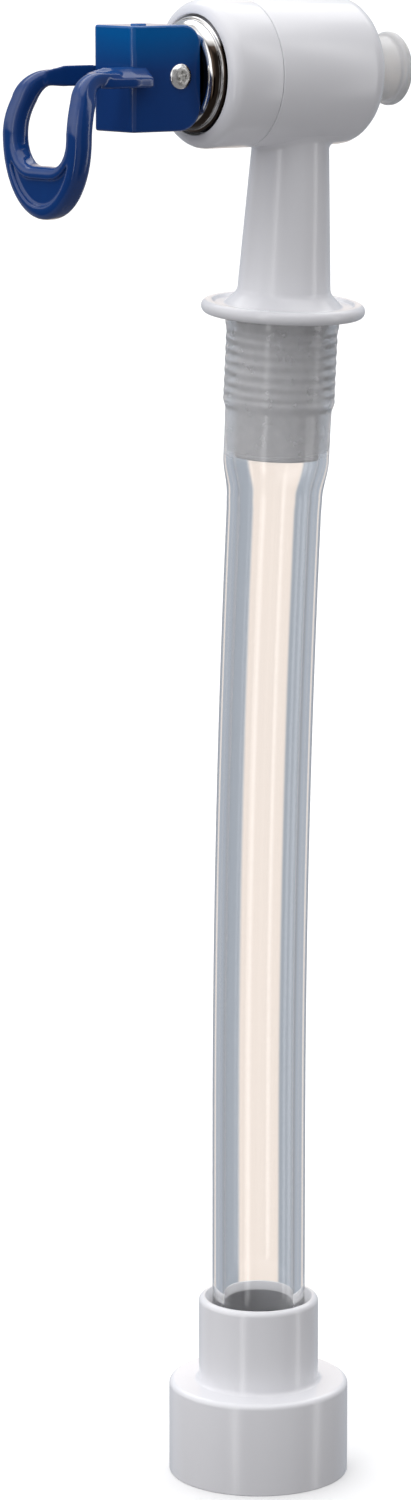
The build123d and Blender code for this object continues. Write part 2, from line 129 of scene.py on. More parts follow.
def drawOutline(name, outline, closed=True, sheet=None):
    # an outline drawn point by point: (u, v, rounding) in millimetres; sheet says where u and v lie
    sheet = sheet or (lambda u, v: Vector((u, 0, v)) * mm)
    deselectAll()
    bpy.ops.mesh.primitive_plane_add(size=mm)
    piece = bpy.context.object
    piece.name = piece.data.name = name
    points = [sheet(u, v) for u, v, rounding in outline]
    bpy.context.tool_settings.mesh_select_mode = (True, False, False)
    editing(piece)
    bpy.ops.mesh.merge(type="CENTER")
    bpy.ops.transform.translate(value=points[0])
    for here, following in zip(points, points[1:]):
        bpy.ops.mesh.extrude_region_move(TRANSFORM_OT_translate={"value": following - here})
    if closed:
        bpy.ops.mesh.extrude_region_move(TRANSFORM_OT_translate={"value": points[0] - points[-1]})
        bpy.ops.mesh.select_all(action="SELECT")
        bpy.ops.mesh.remove_doubles(threshold=weldGap)
    for index, (u, v, rounding) in enumerate(outline):
        if rounding:
            before = points[index] - points[index - 1]
            after = points[(index + 1) % len(points)] - points[index]
            turnAngle = acos(max(-1, min(1, before.normalized().dot(after.normalized()))))
            pick("verts", lambda vert: (vert.co - points[index]).length < weldGap)
            segments = max(2, round(turnAngle / radians(15)))
            offset = rounding * mm * tan(turnAngle / 2)
            bpy.ops.mesh.bevel(offset=offset, segments=segments, affect="VERTICES")
    bpy.ops.mesh.select_all(action="SELECT")
    return piece


def facesOut():
    bpy.ops.mesh.select_all(action="SELECT")
    bpy.ops.mesh.normals_make_consistent(inside=False)


def solidify(vector):
    # fills the drawn outline and draws it out into a closed solid
    bpy.ops.mesh.edge_face_add()
    bpy.ops.mesh.extrude_region_move(TRANSFORM_OT_translate={"value": vector})
    facesOut()


def turned(name, outline, place, steps=128, closed=True):
    # a lathed piece: an outline of (radius, height, rounding), spun round z
    # the outline stays open when both its ends are on the axis
    piece = drawOutline(name, outline, closed)
    bpy.ops.mesh.spin(steps=steps, angle=2 * pi, center=(0, 0, 0), axis=(0, 0, 1))
    bpy.ops.mesh.select_all(action="SELECT")
    bpy.ops.mesh.remove_doubles(threshold=weldGap)
    facesOut()
    doneEditing()
    if place is not None:
        settle(piece, place)
    return piece


def eased(share):
    share = max(0, min(1, share))
    return share * share * (3 - 2 * share)


# ---- shader tools
class Wire:
    # a node's output that can be used in sums
    def __init__(self, tree, socket):
        self.tree, self.socket = tree, socket

    def sum(self, operation, first, second=None):
        node = self.tree.nodes.new("ShaderNodeMath")
        node.operation = operation
        for socket, value in zip(node.inputs, (first, second)):
            join(self.tree, socket, value)
        return Wire(self.tree, node.outputs[0])

    def __add__(self, other): return self.sum("ADD", self, other)
    def __radd__(self, other): return self.sum("ADD", other, self)
    def __sub__(self, other): return self.sum("SUBTRACT", self, other)
    def __rsub__(self, other): return self.sum("SUBTRACT", other, self)
    def __mul__(self, other): return self.sum("MULTIPLY", self, other)
    def __abs__(self): return self.sum("ABSOLUTE", self)
    def clipped(self): return self.sum("MINIMUM", self.sum("MAXIMUM", self, 0), 1)


def join(tree, socket, value):
    if isinstance(value, Wire):
        tree.links.new(value.socket, socket)
    elif value is not None:
        socket.default_value = value


class Recipe:
    # the nodes of one material, or of the world
    def __init__(self, owner):
        owner.use_nodes = True
        self.tree = owner.node_tree
        self.tree.nodes.clear()

    def add(self, kind, settings=None, inputs=None, output=0):
        node = self.tree.nodes.new("ShaderNode" + kind)
        for name, value in (settings or {}).items():
            if name == "stops":
                ramp = node.color_ramp.elements
                while len(ramp) < len(value):
                    ramp.new(0.5)
                for stop, (position, color) in zip(ramp, value):
                    stop.position, stop.color = position, color
            else:
                setattr(node, name, value)
        for name, value in (inputs or {}).items():
            join(self.tree, node.inputs[name], value)
        return Wire(self.tree, node.outputs[output]) if node.outputs else node

    def mix(self, factor, first, second):
        return self.add("Mix", {"data_type": "RGBA"}, {0: factor, 6: first, 7: second}, 2)

    def place(self):
        return self.add("TexCoord", output="Object")

    def noise(self, scale, detail=3, roughness=0.5, stretch=(1, 1, 1)):
        spot = self.add("Mapping", {}, {"Vector": self.place(), "Scale": stretch})
        inputs = {"Vector": spot, "Scale": scale, "Detail": detail, "Roughness": roughness}
        return self.add("TexNoise", {}, inputs, "Fac")

    def bump(self, height, depth, strength=1.0):
        inputs = {"Height": height, "Distance": depth, "Strength": strength}
        return self.add("Bump", {}, inputs, "Normal")

    def height(self):
        return self.add("SeparateXYZ", {}, {"Vector": self.place()}, "Z")

    def vector(self, operation, first, second, output=0):
        return self.add("VectorMath", {"operation": operation}, {0: first, 1: second}, output)

    def dot(self, first, second):
        return self.vector("DOT_PRODUCT", first, tuple(second), "Value")

    def reach(self, origin, axis):
        # how far a spot is from a line
        spot = self.vector("SUBTRACT", self.place(), tuple(origin))
        sideways = self.vector("CROSS_PRODUCT", spot, tuple(axis))
        return self.vector("LENGTH", sideways, None, "Value")


def band(distance, halfWidth, soft):
    # 1 within halfWidth, 0 beyond, with a soft edge
    return ((halfWidth - distance) * (1 / soft) + 0.5).clipped()


def rgba(red, green, blue):
    return (red, green, blue, 1)


def finish(name, settings, patterns):
    # a Principled material: settings are constant sockets, patterns returns those that vary
    material = bpy.data.materials.new(name)
    recipe = Recipe(material)
    inputs = dict(settings)
    inputs.update(patterns(recipe))
    shader = recipe.add("BsdfPrincipled", {}, inputs)
    recipe.add("OutputMaterial", {}, {"Surface": shader})
    return material


def dress(piece, material):
    piece.data.materials.clear()
    piece.data.materials.append(material)


# ---- materials
def moulded(tone, shade, roughness, spread, grain):
    # smooth moulded plastic: faint flow marks in its colour and sheen, and a very fine skin
    def patterns(recipe):
        flow = recipe.noise(90, 4, 0.6, (1, 1, 0.4))
        fine = recipe.noise(2600, 2)
        return {
            "Base Color": recipe.mix(flow, rgba(*shade), rgba(*tone)),
            "Roughness": roughness + (flow - 0.5) * spread + (fine - 0.5) * spread,
            "Normal": recipe.bump(fine, grain * mm),
        }
    return patterns


whitePlastic = finish("whitePlastic", {"IOR": 1.5, "Specular IOR Level": 0.5},
                      moulded((0.84, 0.84, 0.87), (0.81, 0.81, 0.84), 0.2, 0.05, 0.001))


def blueWithPaintedTopLight(recipe):
    # deep gloss blue, with painted light: the base colour is painted lighter towards the top
    paintedLightStart = 247 * mm
    paintedLightLength = 6 * mm
    patterns = moulded((0.006, 0.055, 0.23), (0.008, 0.036, 0.17), 0.1, 0.05, 0.002)(recipe)
    paintedLightWobble = (recipe.noise(160, 3, 0.6, (1, 1, 0.3)) - 0.5) * 0.2
    paintedTopLight = ((recipe.height() - paintedLightStart) * (1 / paintedLightLength) + paintedLightWobble).clipped()
    # painted light: a lighter blue painted over the top of the lever
    patterns["Base Color"] = recipe.mix(paintedTopLight, patterns["Base Color"], rgba(0.0, 0.105, 0.36))
    return patterns


bluePlastic = finish("bluePlastic", {"IOR": 1.5}, blueWithPaintedTopLight)
naturalPlastic = finish("naturalPlastic", {"IOR": 1.48},
                        moulded((0.82, 0.80, 0.73), (0.76, 0.74, 0.66), 0.42, 0.1, 0.003))
milkyPlastic = finish("milkyPlastic", {"IOR": 1.49, "Transmission Weight": 0.45, "Subsurface Weight": 0.4,
                                       "Subsurface Scale": 1.5 * mm, "Subsurface Radius": (1, 0.95, 0.9)},
                      moulded((0.93, 0.93, 0.93), (0.88, 0.88, 0.88), 0.34, 0.08, 0.003))
whiteSilicone = finish("whiteSilicone", {"IOR": 1.41},
                       moulded((0.86, 0.86, 0.87), (0.80, 0.80, 0.81), 0.5, 0.1, 0.004))
greyRubber = finish("greyRubber", {"IOR": 1.5},
                    moulded((0.20, 0.20, 0.21), (0.15, 0.15, 0.16), 0.7, 0.15, 0.012))
blackRubber = finish("blackRubber", {"IOR": 1.5},
                     moulded((0.025, 0.025, 0.026), (0.015, 0.015, 0.016), 0.6, 0.15, 0.008))


def clearPatterns(recipe):
    flow = recipe.noise(140, 3, 0.5, (1, 1, 0.15))
    return {
        "Base Color": recipe.mix(flow, rgba(0.985, 0.99, 0.995), rgba(1.0, 1.0, 0.998)),
        "Roughness": 0.03 + flow * 0.03,
        "Normal": recipe.bump(flow, 0.02 * mm, 0.4),
    }


def mistedSilicone(name):
    # clear all along, with a milky mist where it is stretched over the shank
    shankDepth = 65 * mm
    mistFade = 1.5 * mm
    material = bpy.data.materials.new(name)
    recipe = Recipe(material)
    patterns = clearPatterns(recipe)
    clear = recipe.add("BsdfPrincipled", {}, {"IOR": 1.41, "Transmission Weight": 1.0, **patterns})
    mistSettings = {"IOR": 1.41, "Base Color": rgba(0.95, 0.95, 0.96), "Roughness": 0.3}
    mist = recipe.add("BsdfPrincipled", {}, mistSettings)
    gripEnd = (crossing - up * shankDepth).z
    density = recipe.noise(400, 2) * 0.1 + 0.22
    factor = ((recipe.height() - gripEnd) * (1 / mistFade)).clipped() * density
    blend = recipe.add("MixShader", {}, {0: factor, 1: clear, 2: mist})
    recipe.add("OutputMaterial", {}, {"Surface": blend})
    return material


clearSilicone = mistedSilicone("clearSilicone")


def paintedReflectionPlate(recipe):
    # bright plate; below its crown its base colour is painted dark, a painted reflection of dark surroundings,
    # broken by two painted highlight lines (radius, half width)
    paintedHighlightLines = ((8.0, 0.42), (9.25, 0.12))
    streak = recipe.noise(300, 3, 0.6, (1, 0.2, 1))
    reach = recipe.reach(crossing, along) + (streak - 0.5) * (0.25 * mm)
    spot = recipe.vector("SUBTRACT", recipe.place(), tuple(crossing))
    level = recipe.dot(spot, headUp)
    bright = recipe.mix(streak, rgba(0.80, 0.79, 0.77), rgba(0.88, 0.87, 0.86))
    # painted reflection: the base colour is painted dark below a level up the head, except along the painted
    # highlight lines
    paintedDarkReflection = band(level, 5.6 * mm, 1.6 * mm)
    for radius, halfWidth in paintedHighlightLines:
        paintedDarkReflection = paintedDarkReflection * (1 - band(abs(reach - radius * mm), halfWidth * mm, 0.12 * mm))
    return {
        "Base Color": recipe.mix(paintedDarkReflection, bright, rgba(0.045, 0.032, 0.024)),
        "Roughness": 0.05 + streak * 0.05,
        "Normal": recipe.bump(streak, 0.004 * mm, 0.5),
    }


# chrome whose base colour carries painted reflections and painted highlight lines
chrome = finish("chrome", {"Metallic": 1.0}, paintedReflectionPlate)


def pitted(recipe):
    pits = recipe.noise(2200, 4, 0.65)
    soot = (recipe.noise(700, 3, 0.6) * 2.2 - 0.7).clipped()
    return {
        "Base Color": recipe.mix(soot, rgba(0.36, 0.35, 0.33), rgba(0.80, 0.79, 0.77)),
        "Roughness": 0.3 + pits * 0.25,
        "Normal": recipe.bump(pits, 0.08 * mm, 0.7),
    }


stainlessSteel = finish("stainlessSteel", {"Metallic": 1.0}, pitted)


def hammered(recipe):
    # a rivet's head: bright rim, dull pitted middle
    pits = recipe.noise(1500, 4, 0.7)
    reach = recipe.reach(pinFrame.translation, across) + (pits - 0.5) * (1.2 * mm)
    worn = band(reach, 1.3 * mm, 0.6 * mm)
    soot = worn * ((pits - 0.38) * 4).clipped()
    return {
        "Base Color": recipe.mix(soot, rgba(0.84, 0.83, 0.81), rgba(0.10, 0.10, 0.085)),
        "Roughness": 0.2 + worn * 0.3,
        "Normal": recipe.bump(pits * worn, 0.12 * mm, 0.8),
    }


rivetSteel = finish("rivetSteel", {"Metallic": 1.0}, hammered)

nodeFinish = {
    "inlet_adapter": whitePlastic, "tap_body": whitePlastic, "bonnet_collar": whitePlastic,
    "hose": clearSilicone, "adapter_gasket": greyRubber, "shank_washer": whiteSilicone,
    "collar_gasket": whiteSilicone, "seat_plug": whiteSilicone, "nozzle_seal": whiteSilicone,
    "stem_o_ring": blackRubber, "guide_bush": naturalPlastic, "thrust_washer": naturalPlastic,
    "stem": naturalPlastic, "nozzle": milkyPlastic, "seal_washer": stainlessSteel,
    "spring_washer": stainlessSteel, "return_spring": stainlessSteel, "lever_pin": rivetSteel,
    "chrome_ring": chrome, "lever": bluePlastic,
}
for nodeName, material in nodeFinish.items():
    dress(frame["nodes"][nodeName], material)
print("materials made and given to", len(nodeFinish), "nodes")


def standsFor(piece, node, body):
    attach(piece, body)
    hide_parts(node)
    dress(piece, nodeFinish[node])


# ---- adapter at the hose's foot
adapterSizes = {
    "outer": 15.5, "socket": 12.5, "groove": 13.0, "bore": 6.0, "hoseSocket": 8.05, "rim": 10.35,
    "socketTop": 12.0, "grooveTop": 14.0, "step": 16.4, "seat": 17.5, "top": 31.4,
    "leadIn": 1.2, "rounding": 0.95, "junction": 0.8, "edge": 0.2,
}


def makeAdapter(a):
    outline = [
        (a["socket"], 0, a["edge"]),
        (a["outer"], 0, a["edge"]),
        (a["outer"], a["step"], a["rounding"]),
        (a["rim"], a["step"], a["junction"]),
        (a["rim"], a["top"], a["rounding"]),
        (a["hoseSocket"] + a["leadIn"], a["top"], a["edge"]),
        (a["hoseSocket"], a["top"] - a["leadIn"], a["edge"]),
        (a["hoseSocket"], a["seat"], 0),
        (a["bore"], a["seat"], 0),
        (a["bore"], a["grooveTop"], 0),
        (a["groove"], a["grooveTop"], 0),
        (a["groove"], a["socketTop"], 0),
        (a["socket"], a["socketTop"], a["edge"]),
    ]
    shell = turned("adapterShell", outline, Matrix.Identity(4), 144)
    standsFor(shell, "inlet_adapter", "tap")


makeAdapter(adapterSizes)
print("adapter made")

# ---- tap: barrel, neck, flange and shank in one moulding
tapSizes = {
    "barrel": 12.35, "barrelEnd": 11.5, "endRounding": 3.5, "seam": -10.6, "edge": 0.22,
    "spigot": 10.4, "spigotEnd": -14.6, "chamber": 8.6, "chamberEnd": 7.2,
    "seatFace": 6.0, "outlet": 3.5, "seatWall": 1.1, "nozzleSocket": 5.35, "nozzleFloor": 8.5,
    "sink": 0.8, "lipOut": 0.05, "lipUp": 0.06, "lipDown": 0.02, "fadeStart": -18.0, "fadeLength": 3.5,
    "neckTop": 6.45, "neckFoot": 7.85, "footHeight": -37.0, "footRounding": 1.5, "blend": 1.0,
    "hub": 8.6, "hubTop": -37.8, "hubRounding": 0.4, "dish": 10.0, "dishFloor": -39.25, "dishRounding": 0.7,
    "rimInner": 11.6, "rimTop": -38.75, "rimSlope": 0.5,
    "flange": 13.8, "underside": -41.0, "rimRounding": 1.05,
    "shank": 7.0, "bead": 7.15, "beadTop": -60.5, "beadRounding": 0.1, "shankEnd": -65.0, "endChamfer": 0.3,
    "bore": 4.5, "drillTop": -3.0, "drillFoot": -13.0,
    "ridge": 7.75, "ridgeStart": -42.5, "pitch": 1.8, "ridges": 7,
    "ridgeRise": 0.35, "ridgeCrest": 0.2, "ridgeRounding": 0.15,
}


def makeTap(t):
    barrel = [
        (t["chamber"], t["spigotEnd"], 0),
        (t["spigot"], t["spigotEnd"], t["edge"]),
        (t["spigot"], t["seam"], 0),
        (t["barrel"], t["seam"], t["edge"]),
        (t["barrel"], t["barrelEnd"], t["endRounding"]),
        (t["nozzleSocket"], t["barrelEnd"], t["edge"]),
        (t["nozzleSocket"], t["nozzleFloor"], 0),
        (t["outlet"], t["nozzleFloor"], 0),
        (t["outlet"], t["seatFace"], 0),
        (t["outlet"] + t["seatWall"], t["seatFace"], 0),
        (t["outlet"] + t["seatWall"], t["chamberEnd"], 0),
        (t["chamber"], t["chamberEnd"], 0),
    ]
    tap = turned("tapShell", barrel, barrelFrame, 160)
    rise, crest, rounding = t["ridgeRise"], t["ridgeCrest"], t["ridgeRounding"]
    ridgeShape = (
        (0, t["shank"], 0),
        (rise, t["ridge"], rounding),
        (rise + crest, t["ridge"], rounding),
        (2 * rise + crest, t["shank"], 0),
    )
    ridges = []
    for number in range(t["ridges"]):
        start = t["ridgeStart"] - number * t["pitch"]
        ridges += [(radius, start - share * t["pitch"], soft) for share, radius, soft in ridgeShape]
    flareTop, flare = -t["barrel"], t["neckTop"] + t["blend"]
    neck = [
        (t["bore"], flareTop + t["sink"], 0),
        (flare, flareTop + t["sink"], 0),
        (flare + t["lipOut"], flareTop + t["lipUp"], 0),
        (t["neckTop"], flareTop - t["lipDown"], t["blend"]),
        (t["neckFoot"], t["footHeight"], t["footRounding"]),
        (t["hub"], t["hubTop"], t["hubRounding"]),
        (t["dish"], t["dishFloor"], t["dishRounding"]),
        (t["rimInner"], t["dishFloor"], t["rimSlope"]),
        (t["rimInner"] + t["rimSlope"], t["rimTop"], t["rimSlope"]),
        (t["flange"], t["rimTop"], t["rimRounding"]),
        (t["flange"], t["underside"], t["rimRounding"]),
        (t["shank"], t["underside"], 0),
        *ridges,
        (t["shank"], t["beadTop"], t["beadRounding"]),
        (t["bead"], t["beadTop"], t["beadRounding"]),
        (t["bead"], t["shankEnd"], t["endChamfer"]),
        (t["bore"], t["shankEnd"], t["endChamfer"]),
    ]
    stalk = turned("stalk", neck, None, 144)
    for vert in stalk.data.vertices:  # the neck's top follows the barrel's belly
        fade = max(0, min(1, (vert.co.z / mm - t["fadeStart"]) / t["fadeLength"]))
        if fade:
            vert.co.z += fade * (t["barrel"] * mm - sqrt((t["barrel"] * mm) ** 2 - vert.co.y ** 2))
    settle(stalk, neckFrame)
    cutOrJoin(tap, stalk, "UNION")
    drill = [
        (0, t["drillTop"], 0),
        (t["bore"], t["drillTop"], 0),
        (t["bore"], t["drillFoot"], 0),
        (0, t["drillFoot"], 0),
    ]
    cutOrJoin(tap, turned("drill", drill, neckFrame, 96, closed=False), "DIFFERENCE")
    settle(tap, Matrix.Identity(4), 30)
    standsFor(tap, "tap_body", "tap")


makeTap(tapSizes)
print("tap made")

# ---- collar
collarSizes = {
    "mouth": 10.0, "front": -20.5, "outer": 12.35, "rounding": 2.3, "end": -10.68, "edge": 0.22,
    "bore": 11.05, "webEnd": -16.0, "webStart": -17.6, "web": 4.4,
}


def makeCollar(c):
    outline = [
        (c["mouth"], c["front"], c["edge"]),
        (c["outer"], c["front"], c["rounding"]),
        (c["outer"], c["end"], c["edge"]),
        (c["bore"], c["end"], 0),
        (c["bore"], c["webEnd"], 0),
        (c["web"], c["webEnd"], 0),
        (c["web"], c["webStart"], 0),
        (c["mouth"], c["webStart"], 0),
    ]
    standsFor(turned("collarShell", outline, barrelFrame, 160), "bonnet_collar", "tap")


makeCollar(collarSizes)
print("collar made")

# ---- chrome ring
ringSizes = {
    "bore": 3.6, "face": -22.5, "flat": 5.9, "crown": 6.6, "crownFront": -22.72, "shoulder": 9.15,
    "roll": 1.75, "groove": -20.8, "rim": 9.6, "end": -17.9, "inner": 8.45, "back": -20.2, "web": -21.25,
    "edge": 0.2, "ease": 0.4, "crease": 0.05, "rimRounding": 0.3, "endEdge": 0.1,
}


def makeRing(r):
    outline = [
        (r["bore"], r["face"], r["edge"]),
        (r["flat"], r["face"], r["ease"]),
        (r["crown"], r["crownFront"], r["ease"]),
        (r["shoulder"], r["crownFront"], r["roll"]),
        (r["shoulder"], r["groove"], r["crease"]),
        (r["rim"], r["groove"], r["rimRounding"]),
        (r["rim"], r["end"], r["endEdge"]),
        (r["inner"], r["end"], 0),
        (r["inner"], r["back"], r["ease"]),
        (r["bore"], r["web"], 0),
    ]
    standsFor(turned("chromeRing", outline, barrelFrame, 160), "chrome_ring", "head_ring")


makeRing(ringSizes)
print("ring made")

# ---- lever: head block, two arms and the finger loop in one moulding
leverSizes = {
    "base": -22.75, "end": -36.5, "halfWidth": 5.7, "top": 8.4, "bottom": -9.0,
    "topCorner": 3.3, "camCorner": 4.0, "endCorner": 1.0, "longEdge": 10.0, "edge": 0.4,
    "parting": 0.15, "draft": 0.14,
    "slotEnd": -31.3, "slotPast": 2.0, "slotHalfWidth": 2.85, "slotHalfHeight": 4.7, "slotRounding": 0.25,
    "gate": (-32.4, -1.6), "gateRadius": 1.3, "gateHeight": 0.28, "gateSink": 0.3, "gateRounding": 0.25,
    "armRoot": -33.6, "armCrease": -37.2, "armFull": -42.2, "armEnd": -45.6, "armTaper": 0.7, "armDrop": 0.3,
    "armInner": 5.5, "armOuter": 8.25, "armTop": 2.2, "armRidge": 0.0, "armBottom": -1.6, "armRounding": 0.35,
    "rootDrop": 0.1, "rootScale": 0.93,
    "limbStart": -40.0, "limbThin": 2.0, "limbThick": 3.8, "limbRounding": 1.3, "thickenRate": 1.5,
    "bend": -43.6, "bendRadius": 4.6, "bendAngle": 78, "bendSteps": 12, "dropSteps": 5, "limbSpread": 9.4,
    "plateFront": -51.3, "plateTop": -8.6, "shoulder": -9.5, "outerHalfWidth": 11.3, "tip": -22.95,
    "holeHalfWidth": 7.5, "holeBottom": -14.2, "holeRounding": 4.6,
    "rim": 2.2, "bead": 2.0, "beadFrom": 29, "beadSteps": 7,
    "recess": 0.8, "recessTop": -12.9, "recessPast": 1.0,
    "voxel": 0.2, "smoothing": 10,
}


def makeBlock(v):
    outline = [
        (v["base"], v["bottom"], v["camCorner"]),
        (v["base"], v["top"], v["topCorner"]),
        (v["end"], v["top"], 0),
        (v["end"], v["bottom"], 0),
    ]
    block = drawOutline("leverHead", outline)
    bpy.ops.transform.translate(value=(0, -v["halfWidth"] * mm, 0))
    solidify((0, 2 * v["halfWidth"] * mm, 0))

    def endUpright(edge):
        rise = abs(edge.verts[0].co.z - edge.verts[1].co.z)
        return rise > v["longEdge"] * mm and middle(edge).x < (v["end"] + v["endCorner"]) * mm

    pick("edges", endUpright)
    bpy.ops.mesh.bevel(offset=v["endCorner"] * mm, segments=5, affect="EDGES")
    pick("edges", lambda edge: len(edge.link_faces) == 2 and edge.calc_face_angle() > radians(40))
    bpy.ops.mesh.bevel(offset=v["edge"] * mm, segments=3, affect="EDGES")
    bpy.ops.mesh.select_all(action="SELECT")
    bpy.ops.mesh.bisect(plane_co=(0, 0, v["parting"] * mm), plane_no=(0, 0, 1))

    def sidePart(vert):
        return abs(vert.co.z - v["parting"] * mm) < weldGap and abs(vert.co.y) > v["halfWidth"] * mm - weldGap

    pick("verts", sidePart)
    bpy.ops.transform.resize(value=(1, 1 + v["draft"] / v["halfWidth"], 1), center_override=(0, 0, 0))
    doneEditing()
    deselectAll()
    slotLength = v["base"] - v["slotEnd"] + v["slotPast"]
    slotSize = Vector((slotLength, 2 * v["slotHalfWidth"], 2 * v["slotHalfHeight"])) * mm
    slotMiddle = (v["slotEnd"] + slotLength / 2) * mm
    bpy.ops.mesh.primitive_cube_add(size=1, scale=slotSize, location=(slotMiddle, 0, 0))
    slot = bpy.context.object
    bpy.ops.object.transform_apply(location=True, rotation=True, scale=True)
    applied(slot, "BEVEL", {"width": v["slotRounding"] * mm, "segments": 4})
    cutOrJoin(block, slot, "DIFFERENCE")
    gate = [
        (0, -v["gateSink"], 0),
        (v["gateRadius"], -v["gateSink"], 0),
        (v["gateRadius"], v["gateHeight"], v["gateRounding"]),
        (0, v["gateHeight"], 0),
    ]
    gateSpot = Matrix.Translation(Vector((*v["gate"], v["top"])) * mm)
    cutOrJoin(block, turned("gate", gate, gateSpot, 32, closed=False), "UNION")
    return block


def makeArm(v):
    # a straight arm with a sloping top, on the block's side
    section = [
        (v["armInner"], v["armBottom"], v["armRounding"]),
        (v["armInner"], v["armTop"], v["armRounding"]),
        (v["armOuter"], v["armRidge"], v["armRounding"]),
        (v["armOuter"], v["armBottom"], v["armRounding"]),
    ]
    arm = drawOutline("arm", section, sheet=lambda y, z: Vector((v["armRoot"], y, z)) * mm)
    bpy.ops.mesh.edge_face_add()
    stations = v["armRoot"], v["armCrease"], v["armFull"], v["armEnd"]
    for start, end in zip(stations, stations[1:]):
        bpy.ops.mesh.extrude_region_move(TRANSFORM_OT_translate={"value": ((end - start) * mm, 0, 0)})
    armCentre = Vector((0, (v["armInner"] + v["armOuter"]) / 2, 0)) * mm
    bpy.ops.transform.translate(value=(0, 0, -v["armDrop"] * mm))
    bpy.ops.transform.resize(value=(1, v["armTaper"], v["armTaper"]), center_override=armCentre)
    pick("verts", lambda vert: abs(vert.co.x - v["armRoot"] * mm) < weldGap)
    bpy.ops.transform.translate(value=(0, 0, -v["rootDrop"] * mm))
    rootSize = (1, v["rootScale"], v["rootScale"])
    bpy.ops.transform.resize(value=rootSize, center_override=(0, v["armInner"] * mm, 0))
    facesOut()
    doneEditing()
    return arm


def limbRoute(v):
    # the limb's middle line: along the arm, round the bend and down, spreading outwards
    armMiddle = (v["armInner"] + v["armOuter"]) / 2
    plateMiddle = v["plateFront"] + v["limbThick"] / 2
    route = [(v["limbStart"], 0.0, 0.0), ((v["limbStart"] + v["bend"]) / 2, 0.0, 0.0)]
    for step in range(v["bendSteps"] + 1):
        angle = radians(v["bendAngle"] * step / v["bendSteps"])
        route.append((v["bend"] - v["bendRadius"] * sin(angle), v["bendRadius"] * (cos(angle) - 1), angle))
    lastX, lastZ, lastAngle = route[-1]
    for step in range(1, v["dropSteps"] + 1):
        share = step / v["dropSteps"]
        ease = 1 - (1 - share) ** 2
        route.append((lastX + (plateMiddle - lastX) * ease, lastZ + (v["shoulder"] - lastZ) * share,
                      lastAngle + (pi / 2 - lastAngle) * ease))
    stations = []
    for x, z, angle in route:
        share = (v["limbStart"] - x - z) / (v["limbStart"] - plateMiddle - v["plateTop"])
        y = armMiddle + (v["limbSpread"] - armMiddle) * eased(share)
        thickness = v["limbThin"] + (v["limbThick"] - v["limbThin"]) * eased(share * v["thickenRate"])
        stations.append((Vector((x, y, z)) * mm, angle, thickness))
    return stations


def makeLimb(v):
    half = v["limbThick"] / 2
    section = [(-half, -half, v["limbRounding"]), (-half, half, v["limbRounding"]),
               (half, half, v["limbRounding"]), (half, -half, v["limbRounding"])]
    limb = drawOutline("limb", section, sheet=lambda y, z: Vector((0, y, z)) * mm)
    bpy.ops.mesh.edge_face_add()
    here, heading, thick = Vector((0, 0, 0)), 0.0, v["limbThick"]
    for number, (place, angle, thickness) in enumerate(limbRoute(v)):
        if number:
            bpy.ops.mesh.extrude_region_move(TRANSFORM_OT_translate={"value": place - here})
        else:
            bpy.ops.transform.translate(value=place)
        bpy.ops.transform.rotate(value=angle - heading, orient_axis="Y", center_override=place)
        bpy.ops.transform.resize(value=(thickness / thick,) * 3, center_override=place)
        here, heading, thick = place, angle, thickness
    facesOut()
    doneEditing()
    return limb


def belowShoulder(v, inward):
    # half an ellipse, set in from the loop's outline
    halfWidth, rise = v["outerHalfWidth"] - inward, v["shoulder"] - v["tip"] - inward
    turns = [radians(turn) for turn in range(0, 181, 6)]
    return [(halfWidth * cos(turn), v["shoulder"] - rise * sin(turn), 0) for turn in turns]


def makePlate(v):
    halfWidth, hole = v["outerHalfWidth"], v["holeHalfWidth"]
    outline = belowShoulder(v, 0) + [
        (-halfWidth, v["plateTop"], 0), (-hole, v["plateTop"], 0),
        (-hole, v["holeBottom"], v["holeRounding"]), (hole, v["holeBottom"], v["holeRounding"]),
        (hole, v["plateTop"], 0), (halfWidth, v["plateTop"], 0),
    ]
    plate = drawOutline("plate", outline, sheet=lambda y, z: Vector((v["plateFront"], y, z)) * mm)
    solidify((v["limbThick"] * mm, 0, 0))

    def rimEdge(edge):
        crosswise = abs(edge.verts[0].co.x - edge.verts[1].co.x) < weldGap
        return crosswise and middle(edge).z < v["plateTop"] * mm - weldGap

    pick("edges", rimEdge)
    bpy.ops.mesh.bevel(offset=v["limbRounding"] * mm, segments=5, affect="EDGES")
    doneEditing()
    return plate


def makeRecess(v):
    # the crescent sunk between the bead round the hole and the outer rim
    arc = [spot for spot in belowShoulder(v, v["rim"]) if spot[1] < v["recessTop"]]
    beadTurn = v["holeRounding"] + v["bead"]
    centre = v["holeHalfWidth"] - v["holeRounding"], v["holeBottom"] + v["holeRounding"]
    left = []
    for step in range(v["beadSteps"] + 1):
        turn = radians(v["beadFrom"] + (90 - v["beadFrom"]) * step / v["beadSteps"])
        left.append((-centre[0] - beadTurn * cos(turn), centre[1] - beadTurn * sin(turn), 0))
    right = [(-y, z, 0) for y, z, rounding in reversed(left)]
    front = v["plateFront"] - v["recessPast"]
    recess = drawOutline("recess", arc + left + right, sheet=lambda y, z: Vector((front, y, z)) * mm)
    solidify(((v["recess"] + v["recessPast"]) * mm, 0, 0))
    doneEditing()
    return recess


def makeLoop(v):
    plate = makePlate(v)
    for side in (makeArm(v), makeLimb(v)):
        applied(side, "MIRROR", {"use_axis": (False, True, False), "use_mirror_merge": False})
        side.select_set(True)
        plate.select_set(True)
        bpy.context.view_layer.objects.active = plate
        bpy.ops.object.join()
    remesh = {"mode": "VOXEL", "voxel_size": v["voxel"] * mm}
    applied(plate, "REMESH", remesh)
    cutOrJoin(plate, makeRecess(v), "DIFFERENCE")
    applied(plate, "REMESH", remesh)
    applied(plate, "SMOOTH", {"factor": 0.5, "iterations": v["smoothing"]})
    return plate


def makeLever(v):
    block = makeBlock(v)
    cutOrJoin(block, makeLoop(v), "UNION")
    editing(block)
    bpy.ops.mesh.select_all(action="SELECT")
    bpy.ops.mesh.remove_doubles(threshold=weldGap)
    doneEditing()
    settle(block, headFrame, 40)
    applied(block, "WEIGHTED_NORMAL", {"keep_sharp": True, "weight": 80})
    standsFor(block, "lever", "lever")


makeLever(leverSizes)
print("lever made")

